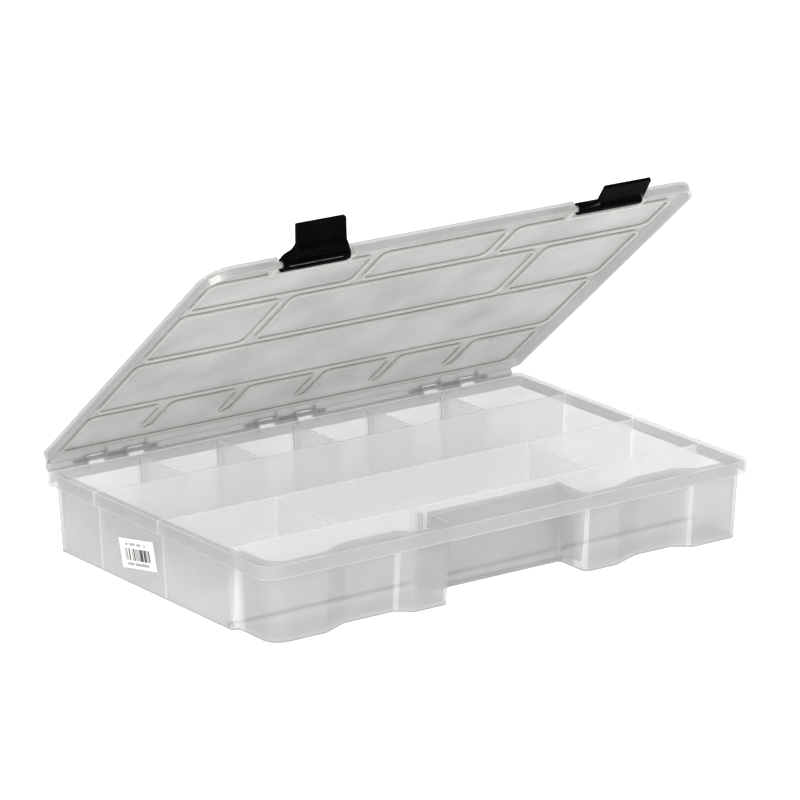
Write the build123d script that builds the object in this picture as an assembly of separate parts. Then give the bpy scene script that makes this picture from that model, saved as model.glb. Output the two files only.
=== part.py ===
from build123d import *
import math
import os

# Fishing tackle box. Frame: origin at the centre of the tray's underside, +Z up,
# latches on the -Y side, hinge on the +Y side, long side along X. Millimetres.

# Tray
TRAY_H = 50.0
WALL = 2.0
FLOOR = 2.0
DRAFT = 3.2
FOOT_X = 172.5
FOOT_Y = 111.0
STEP_X = 168.0
STEP_Y = -75.0
GRIP_LEFT_X = -43.0
GRIP_RIGHT_X = 57.2
GRIP_BACK_Y = -85.0
RECESS_Y = -102.8
RIM_X = 356.0
RIM_Y = 236.0
RIM_T = 2.0
LIP_T = 1.6
LIP_H = 8.5
RIM_LEFT_R = 12.0
RIM_RIGHT_R = 7.0
RIM_BACK_R = 4.0

# Fixed walls inside the tray
WALL_BACK_Y = 63.0
WALL_MID_Y = -6.0
WALL_FRONT_Y = -71.5
WALL_TOP = 49.2

# Loose dividers
DIVIDER_T = 1.8
DIVIDER_TOP = 48.5
DIVIDER_GAP = 0.3
GUIDE_T = 1.4
GUIDE_REACH = 1.2
BACK_PITCH = 56.3
MIDDLE_X = 93.0

# Lid, drawn closed
LID_BOTTOM = 50.4
LID_TOP = 57.4
LID_PLATE = 1.8
LID_SKIRT = 2.0
LID_BACK_Y = 117.6
LID_FRONT_Y = -126.0
BEAD_Z = 53.2
BEAD_T = 1.3
CELL_GAP = 6.0
CELL_X = 168.0
LID_FRONT_ROW_Y = -70.0
ROW_X = 49.0
NOTCH_X = 26.0
NOTCH_Y = -115.8
ROD_Y = -122.5
ROD_Z = 52.9
ROD_R = 2.0

# Hinge
HINGE_Y = 122.0
HINGE_Z = 50.0
KNUCKLE_R = 3.3
PIN_R = 1.25
PIN_GAP = 0.05
KNUCKLE_L = 14.0
KNUCKLE_GAP = 0.4
HINGE_XS = (-125.0, 0.0, 125.0)
HINGE_END_X = 173.0

# Latches
LATCH_BORE = 2.05
LATCH_LEFT_X = -104.0
LATCH_RIGHT_X = 109.0
COLLAR_R = 3.7
COLLAR_END = 3.5
LATCH_ROOT_X = 23.2
LATCH_TIP_X = 17.4
LATCH_L = 25.4
HOOK_X = 14.5

# Label
LABEL_L = 38.0
LABEL_H = 18.2
LABEL_T = 0.2
LABEL_Y = 22.5
LABEL_Z = 20.8
LABEL_TILT = 10.0

# How far everything stands open
LID_OPEN = 40.0
LATCH_LEFT_OPEN = 118.5
LATCH_RIGHT_OPEN = 84.0

SLOPE = math.tan(math.radians(DRAFT))


def block(x0, x1, y0, y1, z0, z1):
    centre = ((x0 + x1) / 2, (y0 + y1) / 2, (z0 + z1) / 2)
    return Pos(*centre) * Box(x1 - x0, y1 - y0, z1 - z0)


def rounded_outline(corners):
    """A flat outline from (x, y, corner radius) triples."""
    outline = Polygon(*[(x, y) for x, y, _ in corners], align=None)
    for x, y, radius in corners:
        if radius > 0:
            corner = outline.vertices().sort_by_distance((x, y, 0))[0]
            outline = fillet(corner, radius)
    return outline


def side_profile(points, x0, x1):
    """A (y, z) outline drawn out along X."""
    face = Plane.YZ * Polygon(*points, align=None)
    return Pos(x0, 0, 0) * extrude(face, x1 - x0, dir=(1, 0, 0))


def rod(radius, x0, x1, y, z):
    return Pos((x0 + x1) / 2, y, z) * Rot(0, 90, 0) * Cylinder(radius, x1 - x0)


def swing(shape, y, z, angle):
    """Turn a shape open about the line along X through (y, z)."""
    return shape.rotate(Axis((0, y, z), (-1, 0, 0)), angle)


def foot_outline(inset=0.0):
    """The floor outline: two back corners, a step on the left, two latch recesses and the grip."""
    front = -FOOT_Y + inset
    recess = RECESS_Y + inset
    return rounded_outline([
        (FOOT_X - inset, FOOT_Y - inset, 3.5 - inset),
        (-FOOT_X + inset, FOOT_Y - inset, 3.5 - inset),
        (-FOOT_X + inset, STEP_Y + inset, 0.9),
        (-STEP_X + inset, STEP_Y + inset, 3.0),
        (-STEP_X + inset, front, 11.0 - inset),
        (-131.0 - inset, front, 4.0 - inset),
        (-113.0 - inset, recess, 3.5 + inset),
        (-77.2 + inset, recess, 3.5 + inset),
        (-68.8 + inset, front, 4.0 - inset),
        (GRIP_LEFT_X - inset, front, 5.0 - inset),
        (GRIP_LEFT_X - inset, GRIP_BACK_Y + inset, 3.5 + inset),
        (GRIP_RIGHT_X + inset, GRIP_BACK_Y + inset, 3.5 + inset),
        (GRIP_RIGHT_X + inset, front, 5.0 - inset),
        (80.5 - inset, front, 4.0 - inset),
        (101.0 - inset, recess, 3.5 + inset),
        (127.5 + inset, recess, 3.5 + inset),
        (138.9 + inset, front, 4.0 - inset),
        (FOOT_X - inset, front, 5.0 - inset),
    ])


def tub(inset, z0, z1):
    """The drafted body outline moved in by `inset`, between two heights."""
    body = extrude(foot_outline(inset), z1 + 0.001, taper=-DRAFT)
    return body & block(-200, 200, -150, 150, z0, z1)


def rim_outline(inset=0.0):
    x = RIM_X / 2 - inset
    y = RIM_Y / 2 - inset
    return rounded_outline([
        (-x, -y, RIM_LEFT_R - inset),
        (x, -y, RIM_RIGHT_R - inset),
        (x, y, RIM_BACK_R - inset),
        (-x, y, RIM_BACK_R - inset),
    ])


def back_divider_xs():
    return [BACK_PITCH * i for i in (-2, -1, 0, 1, 2)]


def guide_pair(x, y0, y1):
    """Two upright strips that hold a divider's edge between them."""
    near = DIVIDER_T / 2 + DIVIDER_GAP
    strips = []
    for side in (-1, 1):
        a = x + side * near
        b = x + side * (near + GUIDE_T)
        strips.append(block(min(a, b), max(a, b), y0, y1, FLOOR - 0.5, DIVIDER_TOP))
    return strips


def base_knuckles():
    pieces = []
    for x in HINGE_XS:
        for side in (-1, 1):
            near = x + side * (KNUCKLE_L / 2 + KNUCKLE_GAP)
            far = near + side * KNUCKLE_L
            x0 = min(near, far)
            x1 = max(near, far)
            arm = side_profile(
                [
                    (RIM_Y / 2 - 1.0, 42.5),
                    (HINGE_Y - 1.0, HINGE_Z - KNUCKLE_R + 0.2),
                    (HINGE_Y, HINGE_Z - 0.3),
                    (RIM_Y / 2 - 1.0, HINGE_Z - 0.3),
                ],
                x0,
                x1,
            )
            pieces.append(arm + rod(KNUCKLE_R, x0, x1, HINGE_Y, HINGE_Z))
    return pieces


def base_tray():
    outer = tub(0.0, 0.0, TRAY_H)
    cavity = tub(WALL, FLOOR, TRAY_H)
    tray = outer - cavity
    inside = tub(WALL / 2, 0.5, WALL_TOP)
    back_strip_zone = tub(WALL / 2, 0.5, WALL_TOP) - tub(WALL + GUIDE_REACH, FLOOR, TRAY_H)
    walls = [
        block(-180, 180, WALL_BACK_Y - 1, WALL_BACK_Y + 1, 1, WALL_TOP),
        block(-180, 180, WALL_MID_Y - 1, WALL_MID_Y + 1, 1, WALL_TOP),
        block(-180, 180, WALL_FRONT_Y - 1, WALL_FRONT_Y + 1, 1, WALL_TOP),
    ]
    for x in (GRIP_LEFT_X - WALL, GRIP_RIGHT_X):
        walls.append(block(x, x + WALL, GRIP_BACK_Y, WALL_FRONT_Y, 1, WALL_TOP))
    for wall in walls:
        tray += wall & inside
    front = WALL_BACK_Y + 0.5
    for x in back_divider_xs():
        for strip in guide_pair(x, front, WALL_BACK_Y + 1 + GUIDE_REACH):
            tray += strip
        for strip in guide_pair(x, 104.0, 114.0):
            tray += strip & back_strip_zone
    for x in (-MIDDLE_X, MIDDLE_X):
        for strip in guide_pair(x, WALL_MID_Y - 1 - GUIDE_REACH, WALL_MID_Y - 0.5):
            tray += strip
        for strip in guide_pair(x, WALL_FRONT_Y + 0.5, WALL_FRONT_Y + 1 + GUIDE_REACH):
            tray += strip
    rim = Pos(0, 0, TRAY_H - RIM_T) * extrude(rim_outline(), RIM_T)
    lip_band = rim_outline() - rim_outline(LIP_T)
    lip = Pos(0, 0, TRAY_H - LIP_H) * extrude(lip_band, LIP_H)
    tray += (rim + lip) - cavity
    for piece in base_knuckles():
        tray += piece
    for x in HINGE_XS:
        tray -= rod(PIN_R + PIN_GAP, x - 30, x + 30, HINGE_Y, HINGE_Z)
    return tray


def cell_bead(x0, x1, y0, y1, radius=6.0):
    """A closed bead around one cell on the lid's underside."""
    outer = Pos((x0 + x1) / 2, (y0 + y1) / 2) * RectangleRounded(x1 - x0, y1 - y0, radius)
    inner = Pos((x0 + x1) / 2, (y0 + y1) / 2) * RectangleRounded(
        x1 - x0 - 2 * BEAD_T, y1 - y0 - 2 * BEAD_T, radius - BEAD_T
    )
    return Pos(0, 0, BEAD_Z) * extrude(outer - inner, LID_TOP - 1.0 - BEAD_Z)


def back_row_outline(inset=0.0):
    """The back row's cells share one outline that folds round a half-length spur at each divider."""
    x1 = CELL_X - inset
    y0 = WALL_BACK_Y + CELL_GAP / 2 + inset
    y1 = 113.5 - inset
    half = CELL_GAP / 2 + inset
    tip = 98.5 + inset
    corners = [(-x1, y0, 6.0 - inset)]
    for x in back_divider_xs():
        corners.append((x - half, y0, 6.0 - inset))
        corners.append((x - half, tip, half - 0.05))
        corners.append((x + half, tip, half - 0.05))
        corners.append((x + half, y0, 6.0 - inset))
    corners += [(x1, y0, 6.0 - inset), (x1, y1, 6.0 - inset), (-x1, y1, 6.0 - inset)]
    return rounded_outline(corners)


def back_row_bead():
    band = back_row_outline() - back_row_outline(BEAD_T)
    return Pos(0, 0, BEAD_Z) * extrude(band, LID_TOP - 1.0 - BEAD_Z)


def lid_beads():
    gap = CELL_GAP / 2
    beads = [back_row_bead()]
    beads.append(cell_bead(-CELL_X, CELL_X, WALL_MID_Y + gap, WALL_BACK_Y - gap))
    y0 = LID_FRONT_ROW_Y + gap
    y1 = WALL_MID_Y - gap
    for a, b in ((-CELL_X, -MIDDLE_X - gap), (-MIDDLE_X + gap, MIDDLE_X - gap), (MIDDLE_X + gap, CELL_X)):
        beads.append(cell_bead(a, b, y0, y1))
    y0 = -107.5
    y1 = LID_FRONT_ROW_Y - gap
    for a, b in ((-CELL_X, -ROW_X - gap), (-ROW_X + gap, ROW_X - gap), (ROW_X + gap, CELL_X)):
        beads.append(cell_bead(a, b, y0, y1))
    return beads


def lid_outline(inset=0.0):
    x = RIM_X / 2 - inset
    return rounded_outline([
        (-x, LID_FRONT_Y + inset, 18.0 - inset),
        (x, LID_FRONT_Y + inset, 18.0 - inset),
        (x, LID_BACK_Y - inset, 5.0 - inset),
        (-x, LID_BACK_Y - inset, 5.0 - inset),
    ])


def hinge_strip_spans():
    """The lid's hinge edge runs the whole length, broken only where the tray's knuckles stand."""
    near = KNUCKLE_L / 2 + KNUCKLE_GAP
    far = near + KNUCKLE_L
    stops = [-HINGE_END_X]
    for x in HINGE_XS:
        stops += [x - far - KNUCKLE_GAP, x - KNUCKLE_L / 2, x + KNUCKLE_L / 2, x + far + KNUCKLE_GAP]
    stops.append(HINGE_END_X)
    return list(zip(stops[0::2], stops[1::2]))


def lid():
    shell = Pos(0, 0, LID_BOTTOM) * extrude(lid_outline(), LID_TOP - LID_BOTTOM)
    top_edges = shell.faces().sort_by(Axis.Z)[-1].edges()
    shell = fillet(top_edges, 1.5)
    hollow = Pos(0, 0, LID_BOTTOM) * extrude(lid_outline(LID_SKIRT), LID_TOP - LID_PLATE - LID_BOTTOM)
    shell -= hollow
    for bead in lid_beads():
        shell += bead
    for x in (LATCH_LEFT_X, LATCH_RIGHT_X):
        shell += block(x - NOTCH_X - 2, x + NOTCH_X + 2, LID_FRONT_Y + 1, NOTCH_Y + 2, LID_BOTTOM, LID_TOP - 1)
        shell -= block(x - NOTCH_X, x + NOTCH_X, LID_FRONT_Y - 1, NOTCH_Y, LID_BOTTOM - 1, LID_TOP + 1)
        shell += rod(ROD_R, x - NOTCH_X - 1, x + NOTCH_X + 1, ROD_Y, ROD_Z)
        shell += cell_bead(x - 43, x - 29, ROD_Y - 1, ROD_Y + 4, radius=2.4)
    for x0, x1 in hinge_strip_spans():
        shell += side_profile(
            [
                (LID_BACK_Y - 1.0, LID_BOTTOM),
                (HINGE_Y, LID_BOTTOM),
                (HINGE_Y, HINGE_Z + KNUCKLE_R - 0.05),
                (LID_BACK_Y - 1.0, LID_TOP - 2.0),
            ],
            x0,
            x1,
        )
        shell += rod(KNUCKLE_R, x0, x1, HINGE_Y, HINGE_Z)
    for x in HINGE_XS:
        shell -= rod(PIN_R + PIN_GAP, x - 30, x + 30, HINGE_Y, HINGE_Z)
    return swing(shell, HINGE_Y, HINGE_Z, LID_OPEN)


def hinge_pins():
    reach = KNUCKLE_L * 1.5 + KNUCKLE_GAP + 0.6
    pins = [rod(PIN_R, x - reach, x + reach, HINGE_Y, HINGE_Z) for x in HINGE_XS]
    return Compound(children=pins)


def latch_blade():
    """Side outline of the latch hanging down in front of the rim."""
    y = ROD_Y
    z = ROD_Z
    return [
        (y - 2.6, z - 1.6),
        (y - 2.0, z - 6.0),
        (y + 0.4, z - 10.5),
        (y + 0.4, z - 14.5),
        (y - 1.8, z - 20.0),
        (y - 3.9, z - LATCH_L),
        (y - 1.9, z - LATCH_L),
        (y + 0.4, z - 19.6),
        (y + 2.8, z - 14.4),
        (y + 2.8, z - 9.0),
        (y + 1.8, z - 5.0),
        (y + 1.8, z - 1.6),
    ]


def latch_hook(x):
    y = ROD_Y
    z = ROD_Z
    outline = [
        (y + 1.8, z - 14.4),
        (y + 5.4, z - 12.9),
        (y + 6.4, z - 12.4),
        (y + 6.4, z - 11.7),
        (y + 1.8, z - 11.7),
    ]
    return side_profile(outline, x - HOOK_X, x + HOOK_X)


def latch(x, angle):
    blade = side_profile(latch_blade(), x - LATCH_ROOT_X, x + LATCH_ROOT_X)
    plan = Plane.XZ * rounded_outline([
        (x - LATCH_ROOT_X, ROD_Z - 1.0, 0.0),
        (x + LATCH_ROOT_X, ROD_Z - 1.0, 0.0),
        (x + LATCH_ROOT_X, ROD_Z - 3.6, 0.8),
        (x + LATCH_TIP_X, ROD_Z - 13.5, 6.0),
        (x + LATCH_TIP_X, ROD_Z - LATCH_L, 0.9),
        (x - LATCH_TIP_X, ROD_Z - LATCH_L, 0.9),
        (x - LATCH_TIP_X, ROD_Z - 13.5, 6.0),
        (x - LATCH_ROOT_X, ROD_Z - 3.6, 0.8),
    ])
    trim = Pos(0, ROD_Y + 20, 0) * extrude(plan, 40, dir=(0, -1, 0))
    body = blade & trim
    body += latch_hook(x)
    collar = rod(COLLAR_R, x - LATCH_ROOT_X, x + LATCH_ROOT_X, ROD_Y, ROD_Z)
    window = LATCH_ROOT_X - COLLAR_END
    collar -= block(x - window, x + window, ROD_Y - 5, ROD_Y + 5, ROD_Z - 1.0, ROD_Z + 1.4)
    body += collar
    heel = block(x - LATCH_ROOT_X, x + LATCH_ROOT_X, ROD_Y - 1.5, ROD_Y + 1.5, ROD_Z + 2.4, ROD_Z + 4.7)
    body += fillet(heel.edges().filter_by(Axis.X).group_by(Axis.Z)[-1], 0.8)
    body -= rod(LATCH_BORE, x - NOTCH_X, x + NOTCH_X, ROD_Y, ROD_Z)
    opened = swing(body, ROD_Y, ROD_Z, angle)
    return swing(opened, HINGE_Y, HINGE_Z, LID_OPEN)


def back_divider(x):
    edge = FOOT_Y - WALL - DIVIDER_GAP
    y0 = WALL_BACK_Y + 1 + DIVIDER_GAP
    z0 = FLOOR + 0.05
    outline = [
        (y0, z0),
        (edge + SLOPE * z0, z0),
        (edge + SLOPE * DIVIDER_TOP, DIVIDER_TOP),
        (y0, DIVIDER_TOP),
    ]
    return side_profile(outline, x - DIVIDER_T / 2, x + DIVIDER_T / 2)


def middle_divider(x):
    y0 = WALL_FRONT_Y + 1 + DIVIDER_GAP
    y1 = WALL_MID_Y - 1 - DIVIDER_GAP
    return block(x - DIVIDER_T / 2, x + DIVIDER_T / 2, y0, y1, FLOOR + 0.05, DIVIDER_TOP)


def barcode_label():
    """A thin sticker put on the sloped left wall a little askew."""
    def face_x(z):
        return -FOOT_X - SLOPE * z

    turn = math.radians(LABEL_TILT)
    corners = []
    for u, v in ((-1, -1), (1, -1), (1, 1), (-1, 1)):
        along = u * LABEL_L / 2
        rise = v * LABEL_H / 2
        y = LABEL_Y - along * math.cos(turn) + rise * math.sin(turn)
        z = LABEL_Z + along * math.sin(turn) + rise * math.cos(turn)
        corners.append((y, z))
    patch = side_profile(corners, -190.0, -160.0)
    film = [
        (face_x(0.0), 0.0),
        (face_x(45.0), 45.0),
        (face_x(45.0) - LABEL_T, 45.0),
        (face_x(0.0) - LABEL_T, 0.0),
    ]
    sheet = Pos(0, 60.0, 0) * extrude(Plane.XZ * Polygon(*film, align=None), 80.0, dir=(0, -1, 0))
    return patch & sheet


os.makedirs("parts", exist_ok=True)
export_step(base_tray(), "parts/base_tray.step")
export_step(lid(), "parts/lid.step")
export_step(hinge_pins(), "parts/hinge_pins.step")
export_step(latch(LATCH_LEFT_X, LATCH_LEFT_OPEN), "parts/latch_left.step")
export_step(latch(LATCH_RIGHT_X, LATCH_RIGHT_OPEN), "parts/latch_right.step")
for number, divider_x in enumerate(back_divider_xs(), start=1):
    export_step(back_divider(divider_x), f"parts/divider_back_{number}.step")
export_step(middle_divider(-MIDDLE_X), "parts/divider_middle_1.step")
export_step(middle_divider(MIDDLE_X), "parts/divider_middle_2.step")
export_step(barcode_label(), "parts/barcode_label.step")
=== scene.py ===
import math

import bpy
from mathutils import Matrix, Vector

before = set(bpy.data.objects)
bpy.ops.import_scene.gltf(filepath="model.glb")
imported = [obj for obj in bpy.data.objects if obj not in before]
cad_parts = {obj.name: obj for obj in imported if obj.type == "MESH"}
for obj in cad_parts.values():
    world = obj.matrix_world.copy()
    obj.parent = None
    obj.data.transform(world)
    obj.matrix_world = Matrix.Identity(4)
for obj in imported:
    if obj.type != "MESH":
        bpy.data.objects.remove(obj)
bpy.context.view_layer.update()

# Where the object's features are, in metres. The lid is open at rest, so its masks
# measure from the hinge, along the plate and square to it.
BACK_WALL_Y = 0.063
MIDDLE_WALL_Y = -0.006
END_WALL_X = 0.1705
RIM_FOOT_Z = 0.0405
FRONT_FOLDS_X = (-0.0765, 0.058, 0.1365)
EVERYWHERE = 1.0

LID_ANGLE = math.radians(40.0)
HINGE = (0.0, 0.122, 0.05)
LID_UP = (0.0, math.sin(LID_ANGLE), math.cos(LID_ANGLE))
LID_OUT = (0.0, -math.cos(LID_ANGLE), math.sin(LID_ANGLE))

LABEL_TILT = math.radians(10.0)
LABEL_CENTRE = (0.0, 0.0225, 0.0208)
LABEL_ALONG = (0.0, -math.cos(LABEL_TILT), math.sin(LABEL_TILT))
LABEL_UP = (0.0, math.sin(LABEL_TILT), math.cos(LABEL_TILT))
BAR_PITCH = 0.00075
BAR_HALF_RUN = 0.0135
BAR_LOW = -0.0042
BAR_HIGH = 0.0032
DASH_HALF_RUN = 0.0125
DASH_ROWS = ((0.0050, 0.0066, 0.0016, 71.0), (-0.0072, -0.0054, 0.0014, 29.0))

# ---------------------------------------------------------------- node helpers


def new_material(name):
    """A fresh node material with nothing in it but its output."""
    material = bpy.data.materials.new(name)
    material.use_nodes = True
    tree = material.node_tree
    tree.nodes.clear()
    return material, tree, tree.nodes.new("ShaderNodeOutputMaterial")


def noise(tree, scale, detail=2.0, stretch=(1.0, 1.0, 1.0)):
    """Noise in the object's own metres."""
    place = tree.nodes.new("ShaderNodeTexCoord")
    mapping = tree.nodes.new("ShaderNodeMapping")
    mapping.inputs["Scale"].default_value = stretch
    texture = tree.nodes.new("ShaderNodeTexNoise")
    texture.inputs["Scale"].default_value = scale
    texture.inputs["Detail"].default_value = detail
    tree.links.new(place.outputs["Object"], mapping.inputs["Vector"])
    tree.links.new(mapping.outputs["Vector"], texture.inputs["Vector"])
    return texture.outputs["Fac"]


def ramp(tree, value, low, high, start=0.3, end=0.7):
    """Value from start to end becomes low to high."""
    node = tree.nodes.new("ShaderNodeMapRange")
    node.inputs["From Min"].default_value = start
    node.inputs["From Max"].default_value = end
    node.inputs["To Min"].default_value = low
    node.inputs["To Max"].default_value = high
    tree.links.new(value, node.inputs["Value"])
    return node.outputs["Result"]


def clamp_between(tree, value, start, end):
    """0 at start, 1 at end, straight between them."""
    return ramp(tree, value, 0.0, 1.0, start=start, end=end)


def colour_mix(tree, factor, first, second):
    """From first to second as factor goes from 0 to 1. first is a colour or a socket."""
    node = tree.nodes.new("ShaderNodeMix")
    node.data_type = "RGBA"
    if isinstance(first, tuple):
        node.inputs["A"].default_value = (*first, 1.0)
    else:
        tree.links.new(first, node.inputs["A"])
    node.inputs["B"].default_value = (*second, 1.0)
    tree.links.new(factor, node.inputs["Factor"])
    return node.outputs["Result"]


def bump(tree, height, strength, distance):
    node = tree.nodes.new("ShaderNodeBump")
    node.inputs["Strength"].default_value = strength
    node.inputs["Distance"].default_value = distance
    tree.links.new(height, node.inputs["Height"])
    return node.outputs["Normal"]


def math_node(tree, operation, *values):
    """A math node on sockets and plain numbers."""
    node = tree.nodes.new("ShaderNodeMath")
    node.operation = operation
    for socket, value in zip(node.inputs, values):
        if isinstance(value, float):
            socket.default_value = value
        else:
            tree.links.new(value, socket)
    return node.outputs["Value"]


def multiply(tree, first, second):
    return math_node(tree, "MULTIPLY", first, second)


def edge_mask(tree, radius, gain):
    """0 on flat faces, up to 1 within `radius` of a corner."""
    flat_enough = 0.98
    rounded = tree.nodes.new("ShaderNodeBevel")
    rounded.samples = 4
    rounded.inputs["Radius"].default_value = radius
    flat = tree.nodes.new("ShaderNodeNewGeometry")
    dot = tree.nodes.new("ShaderNodeVectorMath")
    dot.operation = "DOT_PRODUCT"
    tree.links.new(rounded.outputs["Normal"], dot.inputs[0])
    tree.links.new(flat.outputs["Normal"], dot.inputs[1])
    return clamp_between(tree, dot.outputs["Value"], flat_enough, flat_enough - gain)


# ---------------------------------------------------------------- masks by place


def along(tree, direction, through):
    """Distance in metres along a direction, from a point."""
    place = tree.nodes.new("ShaderNodeTexCoord")
    dot = tree.nodes.new("ShaderNodeVectorMath")
    dot.operation = "DOT_PRODUCT"
    dot.inputs[1].default_value = direction
    tree.links.new(place.outputs["Object"], dot.inputs[0])
    offset = float(Vector(direction).dot(Vector(through)))
    return math_node(tree, "SUBTRACT", dot.outputs["Value"], offset)


def strip_mask(tree, value, low, high):
    """1 between low and high."""
    above = math_node(tree, "GREATER_THAN", value, low)
    return multiply(tree, above, math_node(tree, "LESS_THAN", value, high))


def region_mask(tree, first, *others):
    """1 where each (axis, low, high) span in metres holds."""
    axes = {"x": (1.0, 0.0, 0.0), "y": (0.0, 1.0, 0.0), "z": (0.0, 0.0, 1.0)}

    def one_span(span):
        axis, low, high = span
        return strip_mask(tree, along(tree, axes[axis], (0.0, 0.0, 0.0)), low, high)

    result = one_span(first)
    for span in others:
        result = multiply(tree, result, one_span(span))
    return result


def any_of(tree, masks):
    result = masks[0]
    for mask in masks[1:]:
        result = math_node(tree, "MAXIMUM", result, mask)
    return result


def across_mask(tree, half_length):
    """1 beyond half_length from the middle, towards either end."""
    across = math_node(tree, "ABSOLUTE", along(tree, (1.0, 0.0, 0.0), (0.0, 0.0, 0.0)))
    return clamp_between(tree, across, half_length, half_length + 0.001)


def shell_painted_shade_mask(tree):
    """1 on the tray's outer walls and front bays, 0 in its inner cells; the walls it marks are
    painted darker as shade.
    """
    depth = along(tree, (0.0, 1.0, 0.0), (0.0, 0.0, 0.0))
    bays = clamp_between(tree, depth, -0.078, -0.084)
    back = clamp_between(tree, depth, 0.1085, 0.1095)
    return any_of(tree, [bays, back, across_mask(tree, 0.1712)])


def lid_shadow_painted_mask(tree):
    """1 on the tray's back wall, inside and out, below the rim, where the open lid's shadow is
    painted.
    """
    return region_mask(tree, ("y", 0.1075, EVERYWHERE), ("z", 0.002, 0.0425))


def weld_and_highlight_mask(tree):
    """Pale upright streaks where the inner walls meet the end walls, and painted highlights up the
    front folds.
    """
    half = 0.0011
    streaks = []
    for y in (BACK_WALL_Y, MIDDLE_WALL_Y):
        beside_y = ("y", y - half, y + half)
        streaks.append(region_mask(tree, ("x", -EVERYWHERE, -END_WALL_X), beside_y))
        streaks.append(region_mask(tree, ("x", END_WALL_X, EVERYWHERE), beside_y))
    # Painted highlights on the corners of the front folds.
    for x in FRONT_FOLDS_X:
        beside_x = ("x", x - half, x + half)
        below_rim = ("z", -EVERYWHERE, RIM_FOOT_Z)
        streaks.append(region_mask(tree, beside_x, ("y", -0.116, -0.099), below_rim))
    return any_of(tree, streaks)


def painted_shade_line_mask(tree):
    """Painted shade: darker lines along the foot, up two corners and at the foot of the inner
    front walls.
    """
    below_rim = ("z", -EVERYWHERE, RIM_FOOT_Z)
    left_back_corner = (("x", -EVERYWHERE, -0.1690), ("y", 0.1085, 0.1165), below_rim)
    right_front_corner = (("x", END_WALL_X, EVERYWHERE), ("y", -0.1165, -0.1060), below_rim)
    front_wall_foot = (("y", -0.0730, -0.0700), ("z", 0.0, 0.0042))
    grip_wall_foot = (("y", -0.0880, -0.0840), ("x", -0.0450, 0.0592), ("z", 0.0, 0.0032))
    return any_of(tree, [
        region_mask(tree, ("z", -EVERYWHERE, 0.0011)),
        region_mask(tree, *left_back_corner),
        region_mask(tree, *right_front_corner),
        region_mask(tree, *front_wall_foot),
        region_mask(tree, *grip_wall_foot),
    ])


def ridge_mask(tree):
    """1 on the beads that stand down from the lid's plate."""
    return clamp_between(tree, along(tree, LID_UP, HINGE), 0.0056, 0.0051)


def ridge_foot_shade_mask(tree):
    """1 on the foot of each bead, where it meets the plate, which is painted darker as shade."""
    return strip_mask(tree, along(tree, LID_UP, HINGE), 0.0043, 0.00555)


def lid_top_mask(tree):
    """1 on the lid's outer face."""
    return clamp_between(tree, along(tree, LID_UP, HINGE), 0.0068, 0.0072)


def lid_side_shade_mask(tree):
    """1 on the lid's skirt, all the way round, and on its hinge barrel, which are painted darker
    as shade.
    """
    reach = along(tree, LID_OUT, HINGE)
    return any_of(tree, [
        across_mask(tree, 0.1742),
        clamp_between(tree, reach, 0.2445, 0.2455),
        clamp_between(tree, reach, 0.0075, 0.0065),
    ])


def dashes(tree, value, pitch, seed, share):
    """Random dark and light steps of one pitch."""
    step = math_node(tree, "FLOOR", math_node(tree, "DIVIDE", value, pitch))
    random = tree.nodes.new("ShaderNodeTexWhiteNoise")
    random.noise_dimensions = "1D"
    tree.links.new(math_node(tree, "ADD", step, seed), random.inputs["W"])
    return math_node(tree, "LESS_THAN", random.outputs["Value"], share)


# ---------------------------------------------------------------- materials


def milky_plastic(name, pale, deep, painted_edge_tone, clear, glow, zones=()):
    """Frosted polypropylene: part of the light passes straight through, part is scattered.

    Corners, where there is more plastic along the line of sight, scatter more and let
    less through, and their colour is drawn towards a painted edge tone: a painted highlight
    where the face is darker than that tone, painted shade where it is paler. Each zone is a
    mask and the colour that replaces the clouded one there.
    """
    material, tree, output = new_material(name)
    skin = tree.nodes.new("ShaderNodeBsdfPrincipled")
    cloud = noise(tree, 22.0, 3.0)
    grain = noise(tree, 900.0, 2.0)
    corner = edge_mask(tree, 0.0011, 0.12)
    colour = colour_mix(tree, ramp(tree, cloud, 0.0, 1.0), pale, deep)
    for mask, tone in zones:
        colour = colour_mix(tree, mask(tree), colour, tone)
    # Corners move halfway to the painted edge tone: painted highlight on darker faces, painted
    # shade on paler ones.
    colour = colour_mix(tree, multiply(tree, corner, 0.5), colour, painted_edge_tone)
    tree.links.new(colour, skin.inputs["Base Color"])
    tree.links.new(ramp(tree, grain, 0.28, 0.42), skin.inputs["Roughness"])
    tree.links.new(bump(tree, grain, 0.1, 0.0002), skin.inputs["Normal"])
    skin.inputs["IOR"].default_value = 1.49
    back = tree.nodes.new("ShaderNodeBsdfTranslucent")
    tree.links.new(colour, back.inputs["Color"])
    body = tree.nodes.new("ShaderNodeMixShader")
    body.inputs["Fac"].default_value = glow
    tree.links.new(skin.outputs["BSDF"], body.inputs[1])
    tree.links.new(back.outputs["BSDF"], body.inputs[2])
    through = tree.nodes.new("ShaderNodeBsdfTransparent")
    through.inputs["Color"].default_value = (0.97, 0.97, 0.965, 1.0)
    mixed = tree.nodes.new("ShaderNodeMixShader")
    open_share = ramp(tree, cloud, clear + 0.03, clear - 0.03)
    shut = ramp(tree, corner, 1.0, 0.35, start=0.0, end=1.0)
    tree.links.new(multiply(tree, open_share, shut), mixed.inputs["Fac"])
    tree.links.new(body.outputs["Shader"], mixed.inputs[1])
    tree.links.new(through.outputs["BSDF"], mixed.inputs[2])
    tree.links.new(mixed.outputs["Shader"], output.inputs["Surface"])
    return material


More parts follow.
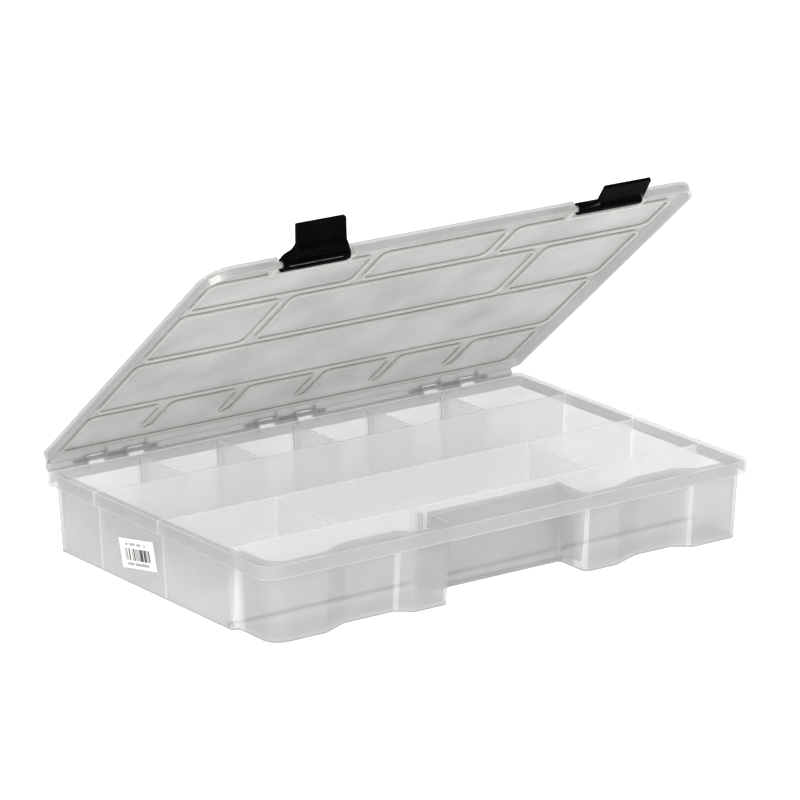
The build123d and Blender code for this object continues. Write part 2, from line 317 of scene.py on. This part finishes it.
def black_plastic(name):
    """Black moulded plastic with a fine grain and hardly any gloss."""
    material, tree, output = new_material(name)
    skin = tree.nodes.new("ShaderNodeBsdfPrincipled")
    cloud = noise(tree, 60.0, 3.0)
    grain = noise(tree, 1600.0, 2.0)
    darkest, palest = (0.0006, 0.0006, 0.0006), (0.0016, 0.0016, 0.0016)
    colour = colour_mix(tree, ramp(tree, cloud, 0.0, 1.0), darkest, palest)
    tree.links.new(colour, skin.inputs["Base Color"])
    tree.links.new(ramp(tree, grain, 0.38, 0.55), skin.inputs["Roughness"])
    tree.links.new(bump(tree, grain, 0.3, 0.0002), skin.inputs["Normal"])
    skin.inputs["Specular IOR Level"].default_value = 0.015
    tree.links.new(skin.outputs["BSDF"], output.inputs["Surface"])
    return material


def drawn_steel(name):
    """Satin steel wire, streaked along X."""
    material, tree, output = new_material(name)
    skin = tree.nodes.new("ShaderNodeBsdfPrincipled")
    streak = noise(tree, 700.0, 3.0, stretch=(0.05, 1.0, 1.0))
    dark, pale = (0.80, 0.80, 0.805), (0.93, 0.93, 0.925)
    colour = colour_mix(tree, ramp(tree, streak, 0.0, 1.0), dark, pale)
    tree.links.new(colour, skin.inputs["Base Color"])
    tree.links.new(ramp(tree, streak, 0.42, 0.6), skin.inputs["Roughness"])
    skin.inputs["Metallic"].default_value = 1.0
    tree.links.new(skin.outputs["BSDF"], output.inputs["Surface"])
    return material


def label_paper(name):
    """Paper with a plain run of bars and two rows of dashes that spell nothing."""
    material, tree, output = new_material(name)
    skin = tree.nodes.new("ShaderNodeBsdfPrincipled")
    fibre = noise(tree, 1200.0, 3.0)
    paper = colour_mix(tree, ramp(tree, fibre, 0.0, 1.0), (0.64, 0.645, 0.62), (0.72, 0.725, 0.70))
    run = along(tree, LABEL_ALONG, LABEL_CENTRE)
    rise = along(tree, LABEL_UP, LABEL_CENTRE)
    bar_block = multiply(
        tree,
        strip_mask(tree, rise, BAR_LOW, BAR_HIGH),
        strip_mask(tree, run, -BAR_HALF_RUN, BAR_HALF_RUN),
    )
    ink = multiply(tree, bar_block, dashes(tree, run, BAR_PITCH, 17.0, 0.55))
    for low, high, pitch, seed in DASH_ROWS:
        row = multiply(
            tree,
            strip_mask(tree, rise, low, high),
            strip_mask(tree, run, -DASH_HALF_RUN, DASH_HALF_RUN),
        )
        marks = multiply(tree, row, dashes(tree, run, pitch, seed, 0.7))
        ink = math_node(tree, "MAXIMUM", ink, multiply(tree, marks, 0.6))
    colour = colour_mix(tree, ink, paper, (0.02, 0.02, 0.02))
    tree.links.new(colour, skin.inputs["Base Color"])
    tree.links.new(ramp(tree, fibre, 0.4, 0.6), skin.inputs["Roughness"])
    tree.links.new(skin.outputs["BSDF"], output.inputs["Surface"])
    return material


INNER_MILK = dict(
    pale=(0.95, 0.95, 0.95),
    deep=(0.91, 0.91, 0.91),
    clear=0.6,
    glow=0.45,
)
TRAY_MILK = milky_plastic(
    "tray_milk",
    painted_edge_tone=(0.84, 0.84, 0.84),
    zones=[
        # Painted shade: the outer walls and front bays are darker than the inner cells.
        (shell_painted_shade_mask, (0.57, 0.57, 0.575)),
        # Painted shadow of the open lid on the back wall.
        (lid_shadow_painted_mask, (0.50, 0.50, 0.50)),
        # Pale streaks: real joins at the end walls, painted highlights at the front folds.
        (weld_and_highlight_mask, (0.86, 0.86, 0.86)),
        # Painted shade along the foot, two corners and the feet of the inner walls.
        (painted_shade_line_mask, (0.22, 0.22, 0.22)),
    ],
    **INNER_MILK,
)
LID_MILK = milky_plastic(
    "lid_milk",
    # Painted shade: the lid's plate, skirt and hinge barrel are darker than its outer face.
    pale=(0.41, 0.412, 0.40),
    deep=(0.26, 0.262, 0.252),
    painted_edge_tone=(0.80, 0.80, 0.78),
    clear=0.4,
    glow=0.35,
    zones=[
        (ridge_mask, (0.76, 0.76, 0.74)),
        # Painted shade in the crease at each bead's foot.
        (ridge_foot_shade_mask, (0.28, 0.28, 0.27)),
        (lid_top_mask, (0.80, 0.80, 0.795)),
        # Painted shade on the skirt and hinge barrel, at the plate's tone.
        (lid_side_shade_mask, (0.42, 0.42, 0.415)),
    ],
)
DIVIDER_MILK = milky_plastic("divider_milk", painted_edge_tone=(0.97, 0.97, 0.97), **INNER_MILK)
BLACK = black_plastic("latch_black")
STEEL = drawn_steel("pin_steel")
PAPER = label_paper("label_paper")

WEARS = {
    "base_tray": TRAY_MILK,
    "lid": LID_MILK,
    "hinge_pins": STEEL,
    "latch_left": BLACK,
    "latch_right": BLACK,
    "barcode_label": PAPER,
}
for name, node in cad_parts.items():
    node.data.materials.clear()
    node.data.materials.append(WEARS.get(name, DIVIDER_MILK))

# ---------------------------------------------------------------- camera

AZIMUTH = -35.40
ELEVATION = 16.57
ROLL = -0.31
REACH = 3.358
TARGET = Vector((-0.00362, -0.00635, 0.09296))
LENS = 251.8
SENSOR_WIDTH = 36.0


def aim_camera():
    """Azimuth and elevation are where the camera stands, seen from TARGET."""
    a = math.radians(AZIMUTH)
    e = math.radians(ELEVATION)
    back = Vector((math.sin(a) * math.cos(e), -math.cos(a) * math.cos(e), math.sin(e)))
    right = Vector((0.0, 0.0, 1.0)).cross(back).normalized()
    up = back.cross(right)
    r = math.radians(ROLL)
    right_rolled = math.cos(r) * right + math.sin(r) * up
    up_rolled = -math.sin(r) * right + math.cos(r) * up
    data = bpy.data.cameras.new("camera")
    data.lens = LENS
    data.sensor_width = SENSOR_WIDTH
    data.clip_start = 0.05
    data.clip_end = 50.0
    camera = bpy.data.objects.new("camera", data)
    bpy.context.scene.collection.objects.link(camera)
    turn = Matrix((right_rolled, up_rolled, back)).transposed()
    camera.matrix_world = Matrix.Translation(TARGET + back * REACH) @ turn.to_4x4()
    bpy.context.scene.camera = camera


aim_camera()

# ---------------------------------------------------------------- stage and light

FLOOR_HALF = 8.0
FLOOR_Z = -0.0002


def make_floor():
    """A white floor that also glows, so that it stays as pale as the background."""
    mesh = bpy.data.meshes.new("floor")
    half = FLOOR_HALF
    corners = [(-half, -half, 0.0), (half, -half, 0.0), (half, half, 0.0), (-half, half, 0.0)]
    mesh.from_pydata(corners, [], [(0, 1, 2, 3)])
    floor = bpy.data.objects.new("floor", mesh)
    bpy.context.scene.collection.objects.link(floor)
    floor.location.z = FLOOR_Z
    material, tree, output = new_material("floor_white")
    skin = tree.nodes.new("ShaderNodeBsdfPrincipled")
    skin.inputs["Base Color"].default_value = (0.93, 0.93, 0.93, 1.0)
    skin.inputs["Roughness"].default_value = 0.6
    skin.inputs["Specular IOR Level"].default_value = 0.2
    skin.inputs["Emission Color"].default_value = (1.0, 1.0, 1.0, 1.0)
    skin.inputs["Emission Strength"].default_value = 0.45
    tree.links.new(skin.outputs["BSDF"], output.inputs["Surface"])
    mesh.materials.append(material)


def sun_light(name, place, spread, strength):
    """Even light from the direction of `place`, softened over `spread` degrees."""
    data = bpy.data.lights.new(name, "SUN")
    data.angle = math.radians(spread)
    data.energy = strength
    lamp = bpy.data.objects.new(name, data)
    bpy.context.scene.collection.objects.link(lamp)
    lamp.location = place
    lamp.rotation_mode = "QUATERNION"
    lamp.rotation_quaternion = (-Vector(place)).to_track_quat("-Z", "Y")


def white_world(strength):
    world = bpy.data.worlds.new("studio")
    world.use_nodes = True
    background = world.node_tree.nodes["Background"]
    background.inputs["Color"].default_value = (1.0, 1.0, 1.0, 1.0)
    background.inputs["Strength"].default_value = strength
    bpy.context.scene.world = world


make_floor()
sun_light("front", (-0.65, -0.8, 0.75), 50.0, 3.4)
sun_light("top", (0.1, -0.2, 1.0), 60.0, 0.6)
white_world(0.45)
bpy.context.scene.view_settings.view_transform = "Standard"
